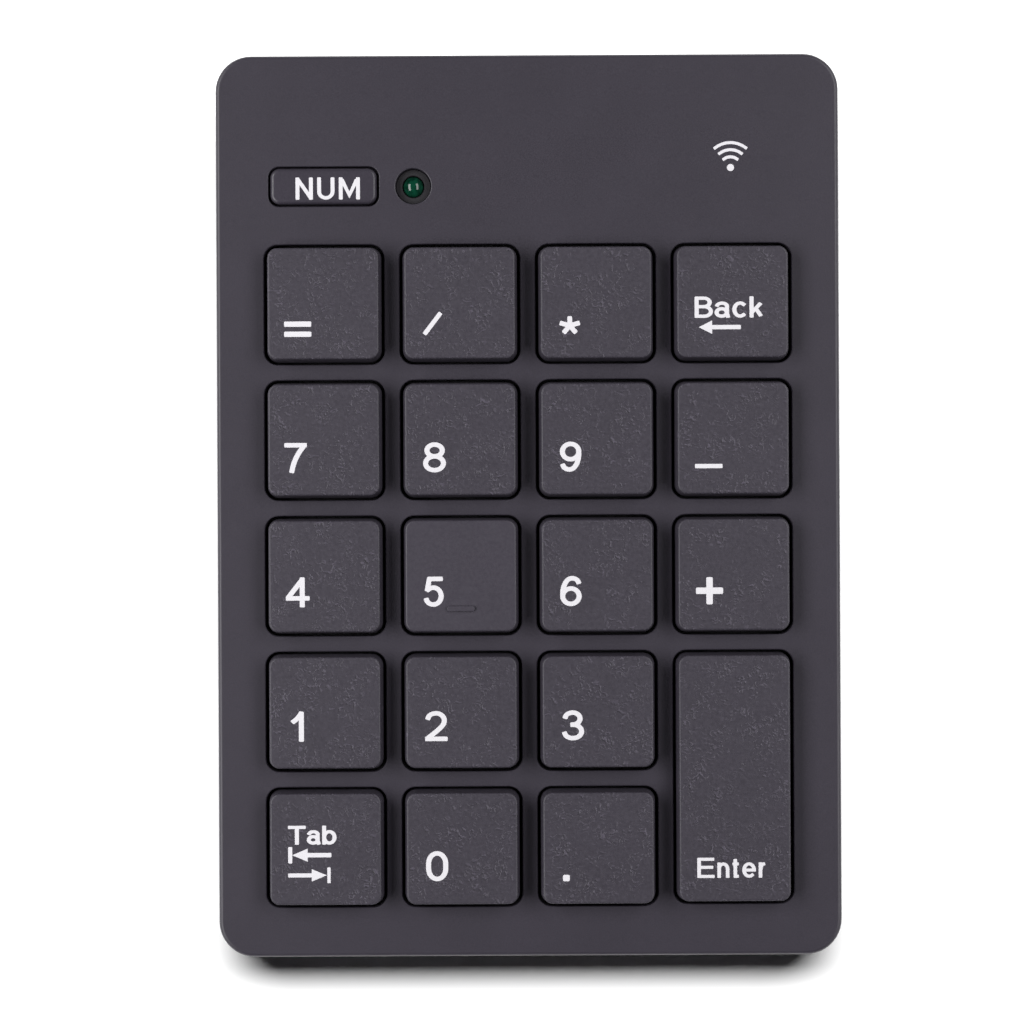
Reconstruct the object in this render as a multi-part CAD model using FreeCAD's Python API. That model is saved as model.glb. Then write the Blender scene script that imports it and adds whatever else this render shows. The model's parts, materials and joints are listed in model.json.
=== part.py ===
"""Cordless numeric keypad: a wedge-shaped case with nineteen low keys, a number-lock button and a lamp.

Two frames are used, both in millimetres.
Row frame: X to the right, Y towards the rear, Z up, its origin on the desk under the middle of the case.
Deck frame: X to the right, Y along the sloping deck towards the rear, Z square to the deck's surface.
on_deck() carries a shape from the deck frame to the row frame.
"""
import FreeCAD
import Part
import math
import os

V = FreeCAD.Vector

# ---- case ----
CASE_WIDTH = 87.5
CASE_LENGTH = 126.6
CORNER_R = 5.0
WALL = 2.0
DECK_THICK = 1.8
DECK_EDGE_R = 0.6
TILT_DEG = 3.0
DECK_HEIGHT = 14.8          # deck surface above the desk, at the middle of the case
DECK_MIDDLE_Y = -0.4258     # puts the middle of the case's outline over the origin
FOOT_STANDOFF = 1.0         # underside of the case above the desk
PARTING_Z = 5.2             # where the top and bottom shells meet
LAP_HEIGHT = 1.4            # height of the bottom shell's tongue
TONGUE_ROOT = 0.5           # the tongue starts this far below the parting
LAP_OUTER = 1.1             # thickness of the top shell's skirt outside the tongue
LAP_GAP = 0.1
SEAM_DEPTH = 0.35
SEAM_HEIGHT = 0.4
BASE_EDGE_R = 1.4
FLOOR_THICK = 1.5
FLOOR_TOP_Z = FOOT_STANDOFF + FLOOR_THICK
DEEP = 30.0                 # longer than the case is tall, for cutting tools
FAR = 99.0                  # beyond every side of the case
MERGE = 0.1                 # overlap of two solids that are joined into one
HAIR = 0.01                 # keeps two faces from lying in one plane
RIB_THICK = 1.0
RIB_INSET = 1.0             # ribs stop short of the plate's edge by this much
RIB_GAP = 0.05              # under the plate that the ribs support

# ---- keys ----
PITCH = 19.05
COLUMNS = 4
ROWS = 5
GRID_Y = -9.8               # middle of the key grid, along the deck
OPENING = 16.85
OPENING_R = 1.9
OPENING_EDGE_R = 0.18
KEY_BASE = 16.2
KEY_BASE_R = 1.65
KEY_TOP = 15.5
KEY_TOP_R = 1.35
KEY_EDGE_R = 0.28
KEY_HEIGHT = 2.6            # key top above the deck
KEY_SKIRT = 1.3             # skirt's lower edge below the deck surface
KEY_SKIN = 1.1
KEY_HOLLOW_R = (0.6, 0.4)   # corners of the hollow, at its mouth and its roof
KEY_TRAVEL = 2.2
ENTER_SHORT = 0.25          # the tall opening is this much under two whole pitches
STEM = 4.6
STEM_R = 0.6
STEM_END = 5.2              # stem's lower end below the deck surface
LUG_WIDE = 1.6
LUG_OUT = 0.35
LUG_TALL = 0.3
LUG_GAP = 0.05              # under the guide that the lugs hook
HOMING_BAR = (3.9, 0.75, 0.35)
HOMING_BAR_EDGE_R = 0.1
HOMING_BAR_OFFSET = -4.58

# ---- parts stacked under the keys, as depths below the deck surface ----
GUIDE_TOP = 3.8
GUIDE_BOTTOM = 4.8
CHIMNEY_TOP = 1.0
CHIMNEY = 6.8
CHIMNEY_R = 1.2
BORE = 4.8
BORE_R = 0.7
DOME_TOP = 5.25
DOME_R = 4.3
DOME_SHOULDER = (3.9, 0.35)     # radius, and height above the sheet, where the wall starts to slope
DOME_CROWN = (2.5, 0.65)        # radius and height of the straight-sided crown
CUP_R = 3.5                     # hollow under the dome, at the sheet's lower face
CUP_CROWN_R = 1.9
CUP_CROWN_DEPTHS = (0.9, 0.6)   # crown of the hollow, from the dome's top
NIB_R = 1.2                     # nib that presses the films together
NIB_DEPTH = 0.8
SHEET_TOP = 7.9
SHEET_BOTTOM = 8.2
FILM = 0.12
FILM_HOLE_R = 2.5               # holes in the spacer film under the domes
FILM_SCREW_HOLE_R = 1.2
PLATE_TOP = SHEET_BOTTOM + 3 * FILM
PLATE_THICK = 0.4
PLATE_BOTTOM = PLATE_TOP + PLATE_THICK
STACK_WIDTH = 73.0
STACK_FRONT = -56.3
STACK_REAR = 36.9
STACK_R = 2.0

# ---- number-lock button and lamp ----
NUM_X = -28.575
NUM_Y = 44.9
NUM_OPENING = (15.5, 5.6)
NUM_OPENING_R = 1.5
NUM_CAP = (14.9, 5.0)
NUM_CAP_R = 1.3
NUM_FLANGE = (16.9, 7.0)
NUM_FLANGE_R = 1.8
NUM_FLANGE_TALL = 0.7
NUM_FLANGE_GAP = 0.05       # between the flange and the deck above it
NUM_STEM_R = 1.5
NUM_EDGE_R = 0.55
NUM_HEIGHT = 0.6
LAMP_X = -16.0
LAMP_Y = 44.9
LAMP_HOLE_R = 2.5            # the lens stands free in the middle of a plain hole
LAMP_R = 1.5
LAMP_TOP = 0.35             # depth of the lens's crown
LAMP_TALL = 3.8             # straight part of the lens
LAMP_RIM = (1.9, 1.0)       # radius and height
LEAD_HALF = 0.22
LEAD_X = 1.27

# ---- circuit board ----
BOARD_TOP = PLATE_TOP
BOARD_THICK = 1.0
BOARD_BOTTOM = BOARD_TOP + BOARD_THICK
BOARD_X = (-41.0, 37.0)
BOARD_Y = (37.25, 47.3)
TACT = 4.5
TACT_TALL = 3.5
TACT_STEM_R = 1.2
TACT_STEM_TOP = 3.56
TACT_CORNER_R = 0.3
TACT_WELL = (1.3, 0.8)      # radius and depth
TACT_LEG = (0.7, 0.7, 0.25)
TACT_LEG_Y = 1.5
TAIL_X = (4.0, 34.0)
TAIL_Y = (36.0, 41.6)
STRIP_TALL = 0.8
STRIP_Y = (37.5, 41.3)
CLAMP_TALL = 1.0
CLAMP_Y = (37.4, 41.5)
CLAMP_OVERHANG = 0.5        # past the strip at each end
CLAMP_SCREWS = ((6.5, 39.4), (31.5, 39.4))
BOARD_SCREW = (-38.9, 39.3)
CHIP_X = (-6.0, -1.0)
CHIP_Y = (42.2, 46.2)
CHIP_TALL = 1.4
PINS = 10
PIN_PITCH = 0.5
PIN_WIDE = 0.2
PIN_TALL = 0.25
PIN_OUT = 0.6
CRYSTAL = (8.0, 3.2, 1.5)   # length, width and corner radius
CRYSTAL_TALL = 2.6
CRYSTAL_AT = (-9.5, 39.3)

# ---- screws ----
BOSS_R = 2.0
SCREW_R = 0.9
SCREW_HOLE_R = 0.95
CLEAR_HOLE_R = 1.1
SMALL_HEAD_R = 1.8
SMALL_HEAD = 1.0
SMALL_HEAD_EDGE_R = 0.4
SMALL_RECESS = 1.0          # half the length of the driver's cross
RECESS_HALF = 0.22          # half the width of the cross's arms
RECESS_DEEP = 0.55
BOSS_ROOF = 0.3             # left solid over a screw hole in a boss
STACK_SCREW_TIP = 2.5       # depths below the deck surface
BOARD_SCREW_TIP = 4.2
STACK_SCREWS = ((-PITCH, 1.5), (PITCH, 1.5), (0, 0.5), (-PITCH, -0.5), (PITCH, -0.5), (0, -1.5))
CASE_SCREWS = ((-38.9, -58.2), (38.9, -58.2), (-39.2, 0.0), (39.2, 0.0), (-38.8, 57.6), (38.8, 57.6))
CASE_BOSS_R = 2.3
CASE_POST_R = 3.2
CASE_SCREW_R = 1.1
CASE_SCREW_LONG = 5.0
CASE_SCREW_POINT = 0.4      # chamfer at the tip
CASE_PILOT_R = 1.15
CASE_PILOT_SPARE = 0.6      # the hole runs this far past the screw's tip
CASE_SHANK_HOLE_R = 1.25
CASE_HEAD_R = 2.0
CASE_HEAD = 1.4
CASE_HEAD_EDGE_R = 0.5
CASE_HEAD_HOLE_R = 2.2
CASE_RECESS = 1.3
HEAD_SEAT_Z = 3.4           # screw heads bear upwards at this height
POST_TOP_Z = 4.3            # where the two shells' screw posts meet
POST_GAP = 0.1

# ---- feet ----
FOOT_R = 4.5
FOOT_RECESS = 0.5
FOOT_RECESS_R = 4.6
FOOT_EDGE_R = 0.35
FEET = tuple((sx * 33.5, sy * 51.0) for sx in (-1, 1) for sy in (-1, 1))

# ---- battery bay and door, in the row frame ----
CELL_R = 5.25
CELL_LONG = 44.5
CELL_NUB = 1.0
CELL_NUB_R = 1.9
CELL_EDGE_R = 0.4
CELL_Y = 54.45
CELL_Z = 7.75
CELL_PLUS_X = 23.4
BAY_X = 24.5
BAY_Y = (48.9, 59.9)
BAY_WALL = 0.8
BAY_END_WALL = 1.0
BAY_CEILING_Z = 13.4
CONTACT_THICK = 0.4
CONTACT_Z = (3.6, 12.4)
CONTACT_INSET = 1.0         # from the bay's front and rear walls
CONTACT_TAIL_Y = 45.9       # front end of the tails
CONTACT_TAIL_Z = (8.8, 10.4)
CONTACT_SLOT_GAP = 0.1
CONTACT_BUTTON_R = 1.5
CELL_GAP = 0.05             # between the cell and each contact
LEAF_THICK = 0.3
LEAF_HALF_SPAN = 4.2
LEAF_HALF_TALL = 2.0
DOOR_X = 26.0
DOOR_FRONT_Y = 46.7
DOOR_TOP_Z = 2.2
DOOR_REAR_WALL_Y = 61.35
DOOR_GAP = 0.12
DOOR_LIP_GAP = 0.15         # between the door's rear wall and the top shell
RAIL_OUT = 0.8
RAIL_Z = (1.5, 2.1)
PAD_TOP_Z = 3.2             # thick floor round the door
PAD_SIDE = 2.2
PAD_FRONT = 1.5
GRIP_BARS = 5
GRIP_PITCH = 1.5
GRIP_Y = 52.0               # first bar
GRIP_LONG = 14.0            # first bar, each further one shorter by GRIP_TAPER
GRIP_TAPER = 2.0
GRIP_WIDE = 0.7
GRIP_END_R = 0.34
GRIP_PROUD = 0.3

# ---- power switch, in the row frame ----
SWITCH_X = -33.0            # knob's place when off
SWITCH_Y = 41.2
SWITCH_TRAVEL = 3.0
KNOB = (3.0, 3.0)
KNOB_PLATE = (7.4, 5.0, 0.7)
KNOB_PLATE_GAP = 0.1        # between the plate and the floor it slides on
KNOB_LOW_Z = 1.15
KNOB_R = 0.5
KNOB_ROOM = 0.2             # between the knob and its window, all round
KNOB_WINDOW_R = 0.6
KNOB_GROOVES_X = (-0.9, 0.0, 0.9)
KNOB_GROOVE = (0.4, 0.3)    # width and depth
CHEEK_X = (0.95, 1.75)      # cheeks that straddle the lever, from the knob's middle
CHEEK_HALF_Y = 1.2
CHEEK_TALL = 1.1
SWITCH_BODY = (9.0, 3.6, 2.6)
SWITCH_BODY_BACK = 0.55     # the body stands this much in front of the knob, along the board
SWITCH_SLOT_END = 1.0       # slot runs past the lever's two places by this much
SWITCH_SLOT_HALF = 0.85
SWITCH_SLOT_DEEP = 1.4
LEVER = (1.6, 1.4)
LEVER_IN = 1.2
LEVER_OUT = 1.3

# ---- stabiliser wire under the tall key ----
WIRE_R = 0.55
WIRE_CLIP_R = 0.62
WIRE_BEND_R = 1.1
WIRE_AXIS_X = -5.3          # from the tall key's middle
WIRE_AXIS_DEPTH = 3.1
WIRE_REST_DEG = 27.0
WIRE_ARM = 7.1
WIRE_HALF = 12.2            # from the tall key's middle to each arm
WIRE_TIP = 2.2
WIRE_SLOT_CLEAR = 0.12
WIRE_GROOVE_CLEAR = 0.15
WIRE_GROOVE_SPARE = 1.5     # the groove in the guide runs past each arm by this much
HOOK_GAP = 0.25             # between a hook and the wire's arm
HOOK_THICK = 1.2
HOOK_RIM = 0.7
CLIP_Y = 7.2                # clips on the guide, from the tall key's middle
CLIP_HALF = (1.15, 1.0)
CLIP_MOUTH = 0.45           # half the mouth's width, and the clip's height over the wire's axis


def on_deck(shape):
    """Carries a shape from the deck frame to the row frame."""
    tilt = FreeCAD.Rotation(V(1, 0, 0), TILT_DEG)
    place = FreeCAD.Placement(V(0, DECK_MIDDLE_Y, DECK_HEIGHT), tilt)
    return shape.transformed(place.toMatrix(), copy=True)


def box(x, y, z):
    """Box between pairs of limits."""
    return Part.makeBox(x[1] - x[0], y[1] - y[0], z[1] - z[0], V(x[0], y[0], z[0]))


def rod(x, y, radius, low, high):
    """Upright cylinder between two heights."""
    return Part.makeCylinder(radius, high - low, V(x, y, low))


def outline(width, length, radius, height, x=0.0, y=0.0):
    """Closed wire: a rectangle with round corners."""
    a, b = width / 2 - radius, length / 2 - radius
    corners = ((a, b, 0), (-a, b, 90), (-a, -b, 180), (a, -b, 270))
    ends, arcs = [], []
    for cx, cy, start in corners:
        centre = V(x + cx, y + cy, height)
        points = [
            centre + V(radius * math.cos(math.radians(t)), radius * math.sin(math.radians(t)), 0)
            for t in (start, start + 45, start + 90)
        ]
        arcs.append(Part.Arc(*points).toShape())
        ends.append((points[0], points[2]))
    edges = []
    for n, arc in enumerate(arcs):
        edges.append(arc)
        edges.append(Part.makeLine(ends[n][1], ends[(n + 1) % 4][0]))
    return Part.Wire(edges)


def slab(width, length, radius, low, high, x=0.0, y=0.0):
    """Upright prism on a rectangle with round corners."""
    face = Part.Face(outline(width, length, radius, low, x, y))
    return face.extrude(V(0, 0, high - low))


def tapered(low, high, x=0.0, y=0.0):
    """Solid between two outlines, each (width, length, radius, height)."""
    wires = [outline(w, n, r, z, x, y) for w, n, r, z in (low, high)]
    return Part.makeLoft(wires, True, True)


def edges_at(shape, height, inside=None):
    """Edges that lie at a height, and within a half-width and half-length if given."""
    found = []
    for edge in shape.Edges:
        b = edge.BoundBox
        level = abs(b.ZMin - height) < 1e-4 and abs(b.ZMax - height) < 1e-4
        if level and (inside is None or inside(b)):
            found.append(edge)
    return found


def join(shapes):
    """One solid from several that touch or overlap."""
    made = shapes[0].fuse(shapes[1:]) if len(shapes) > 1 else shapes[0]
    return made.removeSplitter()


def key_grid():
    """Name, column, row and length in pitches of every key, row 0 at the rear."""
    names = (
        ("equals", "divide", "multiply", "backspace"),
        ("7", "8", "9", "minus"),
        ("4", "5", "6", "plus"),
        ("1", "2", "3", "enter"),
        ("tab", "0", "decimal", None),
    )
    for row, line in enumerate(names):
        for column, name in enumerate(line):
            if name:
                yield name, column, row


def key_centre(name, column, row):
    """Middle of a key's opening in the deck frame, and the opening's length."""
    x = (column - (COLUMNS - 1) / 2) * PITCH
    y = GRID_Y + ((ROWS - 1) / 2 - row) * PITCH
    if name != "enter":
        return x, y, OPENING
    length = OPENING + PITCH - ENTER_SHORT
    return x, y + (OPENING - length) / 2, length


KEYS = {name: key_centre(name, c, r) for name, c, r in key_grid()}
ENTER_X, ENTER_Y, ENTER_OPENING = KEYS["enter"]


def stack_screw_places():
    """Where the screws through the stack stand, between the keys."""
    return [(x, GRID_Y + steps * PITCH) for x, steps in STACK_SCREWS]


# ---------------------------------------------------------------- case shells

def case_prism(inset, top):
    """The case's outline, pulled in by inset, from far below up to a depth of the deck."""
    return slab(CASE_WIDTH - 2 * inset, CASE_LENGTH - 2 * inset, CORNER_R - inset, -DEEP, -top)


def above(height):
    """Half space above a height of the row frame."""
    return box((-FAR, FAR), (-FAR, FAR), (height, FAR))


def below(height):
    """Half space below a height of the row frame."""
    return box((-FAR, FAR), (-FAR, FAR), (-FAR, height))


def deck_holes():
    """Everything that passes through the deck, in the deck frame."""
    low, high = -DECK_THICK - 1, 1
    holes = [slab(OPENING, n, OPENING_R, low, high, x, y) for x, y, n in KEYS.values()]
    holes.append(slab(*NUM_OPENING, NUM_OPENING_R, low, high, NUM_X, NUM_Y))
    holes.append(rod(LAMP_X, LAMP_Y, LAMP_HOLE_R, low, high))
    return holes


def deck_bosses():
    """Screw bosses that hang under the deck, in the deck frame: (solid, hole) pairs."""
    clamp_top = -(BOARD_TOP - FILM - STRIP_TALL - CLAMP_TALL)
    places = [(x, y, -GUIDE_TOP) for x, y in stack_screw_places()]
    places += [(x, y, clamp_top) for x, y in CLAMP_SCREWS]
    places.append((*BOARD_SCREW, -BOARD_TOP))
    for x, y, low in places:
        boss = rod(x, y, BOSS_R, low, MERGE - DECK_THICK)
        yield boss, rod(x, y, SCREW_HOLE_R, low - 1, -DECK_THICK - BOSS_ROOF)


def make_top_case():
    shell = case_prism(0, 0)
    shell = shell.makeFillet(DECK_EDGE_R, edges_at(shell, 0))
    shell = shell.cut(case_prism(WALL, DECK_THICK))
    shell = shell.cut(deck_holes())

    def opening_edge(b):
        across = max(abs(b.XMin), abs(b.XMax)) < CASE_WIDTH / 2 - WALL
        return across and abs(b.YMax) < CASE_LENGTH / 2 - WALL

    shell = shell.makeFillet(OPENING_EDGE_R, edges_at(shell, 0, opening_edge))
    bosses, holes = zip(*deck_bosses())
    shell = shell.fuse(list(bosses))
    shell = on_deck(shell.cut(list(holes)))
    # upright bosses for the case screws reach up into the deck's thickness
    inside = on_deck(case_prism(WALL - MERGE, DECK_THICK - MERGE))
    posts = [rod(x, y, CASE_BOSS_R, POST_TOP_Z + POST_GAP, DEEP).common(inside) for x, y in CASE_SCREWS]
    pilot_top = HEAD_SEAT_Z + CASE_SCREW_LONG + CASE_PILOT_SPARE
    pilots = [rod(x, y, CASE_PILOT_R, 0, pilot_top) for x, y in CASE_SCREWS]
    tongue_room = on_deck(case_prism(LAP_OUTER, 0)).cut(on_deck(case_prism(WALL + MERGE, 0)))
    tongue_room = tongue_room.cut(above(PARTING_Z + LAP_HEIGHT + LAP_GAP))
    shell = shell.cut([below(PARTING_Z), tongue_room])
    shell = shell.fuse(posts)
    return shell.cut(pilots).removeSplitter()


def tray_block():
    """The bottom shell's outside, with its lower edge rounded, in the row frame."""
    block = on_deck(case_prism(0, 0)).cut([below(FOOT_STANDOFF), above(PARTING_Z)])
    return block.makeFillet(BASE_EDGE_R, edges_at(block, FOOT_STANDOFF))


def bay_box(low, high, side=0.0, end=0.0):
    """Box round the battery bay, its walls pushed out by side and end."""
    return box((-BAY_X - end, BAY_X + end), (BAY_Y[0] - side, BAY_Y[1] + side), (low, high))


def door_pocket():
    """Room for the battery door in the bottom shell."""
    half = DOOR_X + DOOR_GAP
    rear = (DOOR_FRONT_Y - DOOR_GAP, FAR)
    top = DOOR_TOP_Z + DOOR_GAP
    plate = box((-half, half), rear, (0, top))
    wall = box((-half, half), (BAY_Y[1] + BAY_WALL, FAR), (0, FAR))
    rails = box((-half - RAIL_OUT, half + RAIL_OUT), rear, (RAIL_Z[0] - DOOR_GAP, top))
    return [plate, wall, rails]


def support_ribs():
    """Ribs under the base plate, cut to its slope."""
    ribs = []
    heights = (-DEEP, -PLATE_BOTTOM - RIB_GAP)
    half = RIB_THICK / 2
    for column in range(COLUMNS):
        x = (column - (COLUMNS - 1) / 2) * PITCH
        ribs.append(box((x - half, x + half), (STACK_FRONT + RIB_INSET, STACK_REAR - RIB_INSET), heights))
    reach = STACK_WIDTH / 2 - RIB_INSET
    for row in range(1, ROWS - 1):
        y = GRID_Y + ((ROWS - 1) / 2 - row) * PITCH
        ribs.append(box((-reach, reach), (y - half, y + half), heights))
    return [on_deck(rib).common(above(FLOOR_TOP_Z - MERGE)) for rib in ribs]


def make_bottom_case():
    shell = tray_block().cut(on_deck(case_prism(WALL, 0)).common(above(FLOOR_TOP_Z)))
    tongue = on_deck(case_prism(LAP_OUTER + LAP_GAP, 0)).cut(on_deck(case_prism(WALL, 0)))
    tongue = tongue.cut([below(PARTING_Z - TONGUE_ROOT), above(PARTING_Z + LAP_HEIGHT)])
    seam = on_deck(case_prism(-1, 0)).cut(on_deck(case_prism(SEAM_DEPTH, 0)))
    seam = seam.cut([below(PARTING_Z - SEAM_HEIGHT), above(PARTING_Z)])
    inside = on_deck(case_prism(WALL - MERGE, 0))
    mid_floor = FLOOR_TOP_Z - FLOOR_THICK / 2
    pad_half = DOOR_X + PAD_SIDE
    pad = box((-pad_half, pad_half), (DOOR_FRONT_Y - PAD_FRONT, FAR), (mid_floor, PAD_TOP_Z)).common(inside)
    posts = [rod(x, y, CASE_POST_R, mid_floor, POST_TOP_Z).common(inside) for x, y in CASE_SCREWS]
    bay = bay_box(PAD_TOP_Z - MERGE, BAY_CEILING_Z + BAY_WALL, BAY_WALL, BAY_END_WALL)
    shell = shell.fuse([tongue, pad, bay, *posts, *support_ribs()])
    cuts = [seam, bay_box(0, BAY_CEILING_Z), *door_pocket(), *contact_slots(), switch_window()]
    cuts += [rod(x, y, CASE_HEAD_HOLE_R, 0, HEAD_SEAT_Z) for x, y in CASE_SCREWS]
    cuts += [rod(x, y, CASE_SHANK_HOLE_R, 0, POST_TOP_Z + 1) for x, y in CASE_SCREWS]
    cuts += [rod(x, y, FOOT_RECESS_R, 0, FOOT_STANDOFF + FOOT_RECESS) for x, y in FEET]
    return shell.cut(cuts).removeSplitter()


def contact_slots():
    """Slots in the bay's front wall for the tails of the two battery contacts."""
    gap = CONTACT_SLOT_GAP
    low, high = CONTACT_TAIL_Z
    slots = []
    for side in (-1, 1):
        x = sorted((side * (BAY_X - CONTACT_THICK - gap), side * (BAY_X + gap)))
        slots.append(box(x, (BAY_Y[0] - BAY_WALL - 1, BAY_Y[0] + 1), (low - gap, high + gap)))
    return slots


def make_battery_door():
    wide = (-DOOR_X, DOOR_X)
    plate = box(wide, (DOOR_FRONT_Y, FAR), (0, DOOR_TOP_Z))
    wall = box(wide, (DOOR_REAR_WALL_Y, FAR), (0, PARTING_Z - DOOR_LIP_GAP))
    door = tray_block().common(plate.fuse(wall))
    rails = []
    for side in (-1, 1):
        x = sorted((side * (DOOR_X - MERGE), side * (DOOR_X + RAIL_OUT)))
        rails.append(box(x, (DOOR_FRONT_Y, BAY_Y[1]), RAIL_Z))
    grip = []
    for n in range(GRIP_BARS):
        long = GRIP_LONG - n * GRIP_TAPER
        low, high = FOOT_STANDOFF - GRIP_PROUD, FOOT_STANDOFF + MERGE
        grip.append(slab(long, GRIP_WIDE, GRIP_END_R, low, high, 0, GRIP_Y + n * GRIP_PITCH))
    return join([door, *rails, *grip])


def make_feet():
    return {
        "foot_%s_%s" % ("front" if y < 0 else "rear", "left" if x < 0 else "right"): foot(x, y)
        for x, y in FEET
    }


def foot(x, y):
    """Rubber foot with a rounded lower edge."""
    body = rod(x, y, FOOT_R, 0, FOOT_STANDOFF + FOOT_RECESS)
    return body.makeFillet(FOOT_EDGE_R, edges_at(body, 0))


# ---------------------------------------------------------------- keys

def key_shell(x, y, length):
    """Hollow key cap with rounded upper edges, its length following its opening."""
    extra = length - OPENING
    low = (KEY_BASE, KEY_BASE + extra, KEY_BASE_R, -KEY_SKIRT)
    high = (KEY_TOP, KEY_TOP + extra, KEY_TOP_R, KEY_HEIGHT)
    cap = tapered(low, high, x, y)
    cap = cap.makeFillet(KEY_EDGE_R, edges_at(cap, KEY_HEIGHT))
    skin = 2 * KEY_SKIN
    mouth_r, roof_r = KEY_HOLLOW_R
    hollow = tapered(
        (KEY_BASE - skin, KEY_BASE + extra - skin, mouth_r, -KEY_SKIRT - HAIR),
        (KEY_TOP - skin, KEY_TOP + extra - skin, roof_r, KEY_HEIGHT - KEY_SKIN),
        x, y,
    )
    return cap.cut(hollow)


def key_stem(x, y):
    """Square stem with two lugs that hold the key in its guide."""
    stem = slab(STEM, STEM, STEM_R, -STEM_END, KEY_HEIGHT - KEY_SKIN + MERGE, x, y)
    reach = STEM / 2 + LUG_OUT
    top = -GUIDE_BOTTOM - LUG_GAP
    lugs = box((x - reach, x + reach), (y - LUG_WIDE / 2, y + LUG_WIDE / 2), (top - LUG_TALL, top))
    return [stem, lugs]


def homing_bar(x, y):
    """Low bar near the front edge of the middle key."""
    wide, deep, tall = HOMING_BAR
    top = KEY_HEIGHT + tall
    bar = slab(wide, deep, deep / 2 - HAIR, KEY_HEIGHT - MERGE, top, x, y + HOMING_BAR_OFFSET)
    return bar.makeFillet(HOMING_BAR_EDGE_R, edges_at(bar, top))


def make_key(name):
    x, y, length = KEYS[name]
    pieces = [key_shell(x, y, length), *key_stem(x, y)]
    if name == "5":
        pieces.append(homing_bar(x, y))
    if name == "enter":
        pieces += wire_hooks()
    return on_deck(join(pieces))


def wire_tip():
    """Where the stabiliser's tips lie at rest, from its own axis: (across, up)."""
    angle = math.radians(WIRE_REST_DEG)
    return WIRE_ARM * math.cos(angle), WIRE_ARM * math.sin(angle)


def wire_pressed_angle():
    """Angle of the stabiliser's arms with the tall key pressed, in radians."""
    rest = math.radians(WIRE_REST_DEG)
    return math.asin(math.sin(rest) - KEY_TRAVEL / WIRE_ARM)


def wire_hooks():
    """Ribs under the tall key with slots that the stabiliser's tips slide in."""
    across, up = wire_tip()
    far = WIRE_ARM * math.cos(wire_pressed_angle())
    axis_x = ENTER_X + WIRE_AXIS_X
    height = up - WIRE_AXIS_DEPTH
    room = WIRE_R + WIRE_SLOT_CLEAR
    slot_x = (axis_x + across - room, axis_x + far + room)
    rib_x = (slot_x[0] - HOOK_RIM, slot_x[1] + HOOK_RIM)
    rib_z = (height - room - HOOK_RIM, KEY_HEIGHT - KEY_SKIN + MERGE)
    hooks = []
    for side in (-1, 1):
        near = ENTER_Y + side * (WIRE_HALF + WIRE_R + HOOK_GAP)
        y = sorted((near, near + side * HOOK_THICK))
        slot = box(slot_x, (y[0] - 1, y[1] + 1), (height - room, height + room))
        hooks.append(box(rib_x, y, rib_z).cut(slot))
    return hooks


def make_stabiliser():
    """Bent wire: a bar along the tall key, two arms, and tips that point away from each other."""
    r = WIRE_BEND_R
    corners = [
        V(WIRE_ARM, -WIRE_HALF - WIRE_TIP, 0),
        V(WIRE_ARM, -WIRE_HALF, 0),
        V(0, -WIRE_HALF, 0),
        V(0, WIRE_HALF, 0),
        V(WIRE_ARM, WIRE_HALF, 0),
        V(WIRE_ARM, WIRE_HALF + WIRE_TIP, 0),
    ]
    edges, start = [], corners[0]
    for before, corner, after in zip(corners, corners[1:], corners[2:]):
        back = (before - corner).normalize()
        on = (after - corner).normalize()
        first, last = corner + back * r, corner + on * r
        middle = corner + (back + on) * r - (back + on).normalize() * r
        edges += [Part.makeLine(start, first), Part.Arc(first, middle, last).toShape()]
        start = last
    edges.append(Part.makeLine(start, corners[-1]))
    path = Part.Wire(edges)
    section = Part.Wire(Part.makeCircle(WIRE_R, corners[0], V(0, 1, 0)))
    wire = path.makePipeShell([section], True, False)
    wire.rotate(V(0, 0, 0), V(0, 1, 0), -WIRE_REST_DEG)
    wire.translate(V(ENTER_X + WIRE_AXIS_X, ENTER_Y, -WIRE_AXIS_DEPTH))
    return on_deck(wire)


# ---------------------------------------------------------------- stack under the keys

def stack_layer(low, high, hole_r):
    """Sheet over the whole key field with holes for the stack's screws, in the deck frame."""
    length = STACK_REAR - STACK_FRONT
    middle = (STACK_REAR + STACK_FRONT) / 2
    layer = slab(STACK_WIDTH, length, STACK_R, low, high, 0, middle)
    return layer.cut([rod(x, y, hole_r, low - 1, high + 1) for x, y in stack_screw_places()])


def wire_clip(side):
    """Open-topped clip on the guide that the stabiliser's bar turns in."""
    x, y = ENTER_X + WIRE_AXIS_X, ENTER_Y + side * CLIP_Y
    half_x, half_y = CLIP_HALF
    top = CLIP_MOUTH - WIRE_AXIS_DEPTH
    clip = box((x - half_x, x + half_x), (y - half_y, y + half_y), (-GUIDE_TOP - MERGE, top))
    bore = Part.makeCylinder(WIRE_CLIP_R, 4 * half_y, V(x, y - 2 * half_y, -WIRE_AXIS_DEPTH), V(0, 1, 0))
    mouth = box((x - CLIP_MOUTH, x + CLIP_MOUTH), (y - 2, y + 2), (-WIRE_AXIS_DEPTH, 0))
    return clip.cut([bore, mouth])


def wire_groove():
    """Shallow relief along the guide's upper face, under the stabiliser's bar."""
    half = WIRE_HALF + WIRE_GROOVE_SPARE
    start = V(ENTER_X + WIRE_AXIS_X, ENTER_Y - half, -WIRE_AXIS_DEPTH)
    groove = Part.makeCylinder(WIRE_R + WIRE_GROOVE_CLEAR, 2 * half, start, V(0, 1, 0))
    return groove.common(box((-FAR, FAR), (-FAR, FAR), (-GUIDE_BOTTOM, -GUIDE_TOP + HAIR)))


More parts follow.
